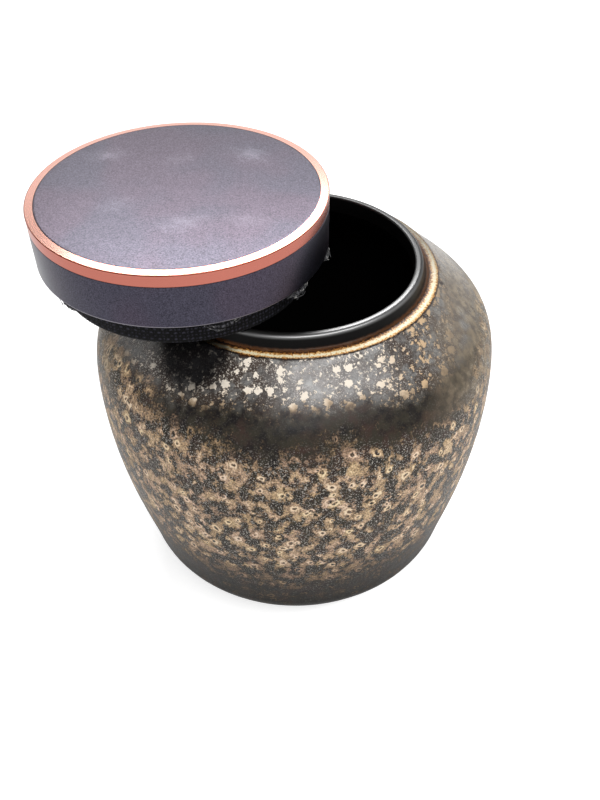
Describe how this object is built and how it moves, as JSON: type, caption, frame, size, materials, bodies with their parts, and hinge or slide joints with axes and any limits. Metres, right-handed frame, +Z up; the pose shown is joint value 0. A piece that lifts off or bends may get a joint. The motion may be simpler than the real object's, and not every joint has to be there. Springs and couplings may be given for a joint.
{
  "type": "ceramic tea caddy",
  "caption": "Round stoneware tea jar with a speckled reactive glaze; its metal cap with a cloth-covered push-in plug lies on the rim and lifts off.",
  "frame": {"origin": "centre of the jar's flat foot, on the surface that the jar stands on", "axes": "+Z up along the jar's axis; the lid lies towards -X, and the picture looks along +Y"},
  "size_m": [0.1394, 0.1302, 0.1438],
  "materials": {
    "glazed_stoneware": "semi-gloss reactive glaze, dark with tan speckle",
    "dark_anodised": "sandblasted, anodised dark grey-purple",
    "rose_gold": "fine-turned, anodised rose gold",
    "glue": "cured glue",
    "board": "raw pressed board",
    "foam": "soft foam",
    "black_linen": "coarse plain weave"
  },
  "bodies": {
    "jar": {"jar_body": "glazed_stoneware"},
    "lid": {"cap_shell": "dark_anodised", "rim_band": "rose_gold", "glue_disc": "glue", "backing_board": "board", "plug_core": "board", "foam_sleeve": "foam", "foam_pad": "foam", "plug_cloth": "black_linen"}
  },
  "joints": [
    {"name": "lid_lift", "type": "slide", "parent": "jar", "child": "lid", "axis": [0, 0, 1], "range_m": [0, 0.1]}
  ]
}
